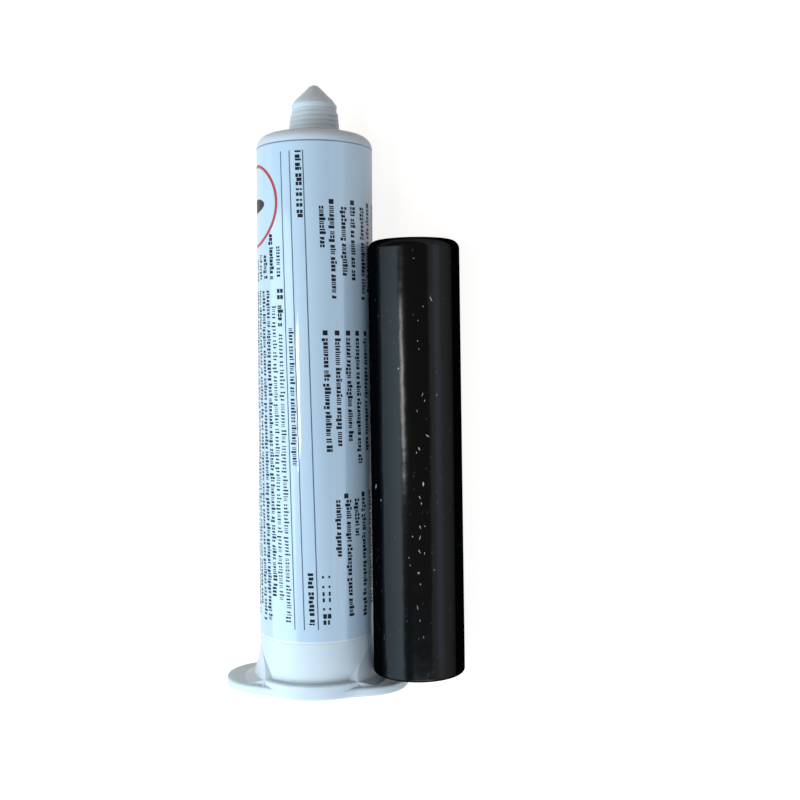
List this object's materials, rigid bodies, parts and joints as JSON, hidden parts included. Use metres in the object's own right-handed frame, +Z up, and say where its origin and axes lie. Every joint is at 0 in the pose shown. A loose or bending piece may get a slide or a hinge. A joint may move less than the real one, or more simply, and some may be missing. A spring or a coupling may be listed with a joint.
{
  "type": "gasket sealant tube",
  "caption": "Syringe-type cartridge of gasket sealant with a two-lobed finger flange, a threaded sealed nozzle and a sliding piston, lying beside its loose black pusher tube.",
  "frame": {"origin": "centre of the object's bounding box, on the surface that it lies on", "axes": "+Y from the finger flange towards the nozzle, +X from the barrel towards the pusher, +Z up"},
  "size_m": [0.0602, 0.1514, 0.032],
  "materials": {
    "barrel": "smooth moulded",
    "label": "glossy printed film",
    "piston": "moulded",
    "sealant": "wet paste",
    "pusher": "satin moulded"
  },
  "bodies": {
    "cartridge": {"barrel": "barrel", "label": "label", "sealant": "sealant", "pusher": "pusher"},
    "piston": {"piston": "piston"}
  },
  "joints": [
    {"name": "piston_slide", "type": "slide", "parent": "cartridge", "child": "piston", "axis": [0, 0.9999, -0.0114], "range_m": [0, 0.095], "deforming": ["sealant"]}
  ]
}
